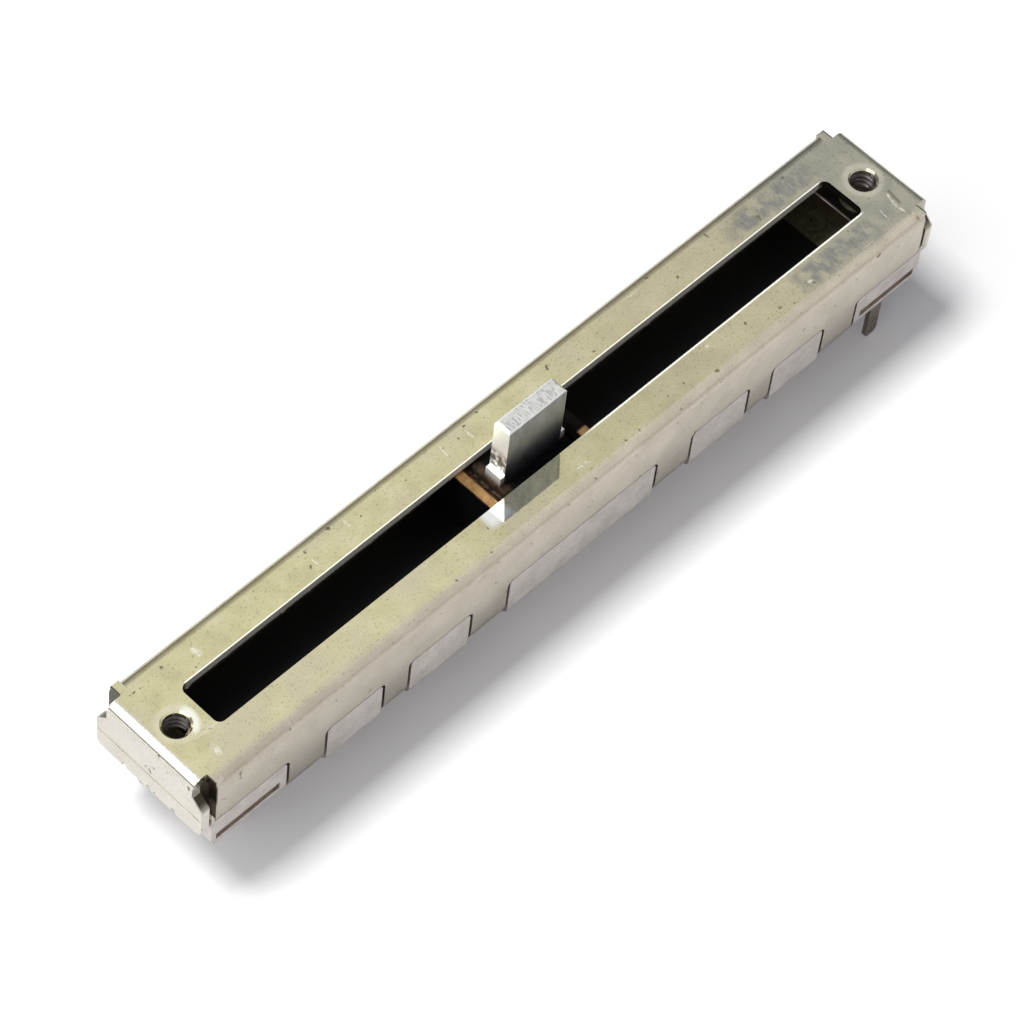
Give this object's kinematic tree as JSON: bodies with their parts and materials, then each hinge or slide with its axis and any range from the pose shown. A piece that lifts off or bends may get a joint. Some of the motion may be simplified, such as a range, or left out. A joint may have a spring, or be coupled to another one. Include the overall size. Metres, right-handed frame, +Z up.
{
  "type": "slide potentiometer",
  "caption": "Slide potentiometer in a long folded steel case, with a flat steel lever that travels along its slot.",
  "frame": {"origin": "middle of the case at the level of the tips of the legs", "axes": "+X along the slot towards the end with two terminals, +Z up out of the slot along the lever"},
  "size_m": [0.06, 0.0086, 0.0153],
  "materials": {
    "case_steel": "satin plated",
    "tray_steel": "satin plated",
    "phenolic": "matte",
    "carbon": "matte",
    "silver_print": "satin",
    "tinned_brass": "satin",
    "black_moulding": "matte",
    "lever_steel": "satin plated",
    "spring_bronze": "satin"
  },
  "bodies": {
    "case": {"upper_case": "case_steel", "lower_case": "tray_steel", "element_board": "phenolic", "carbon_track": "carbon", "collector_track": "carbon", "near_silver_pad": "silver_print", "far_silver_pad": "silver_print", "collector_silver_pad": "silver_print", "near_terminal": "tinned_brass", "far_terminal": "tinned_brass", "collector_terminal": "tinned_brass", "near_eyelet": "tinned_brass", "far_eyelet": "tinned_brass", "collector_eyelet": "tinned_brass"},
    "slider": {"slider_carriage": "black_moulding", "lever": "lever_steel", "friction_spring": "spring_bronze", "wiper_contact": "spring_bronze"}
  },
  "joints": [
    {"name": "lever_travel", "type": "slide", "parent": "case", "child": "slider", "axis": [1, 0, 0], "range_m": [-0.0216, 0.0234]}
  ]
}
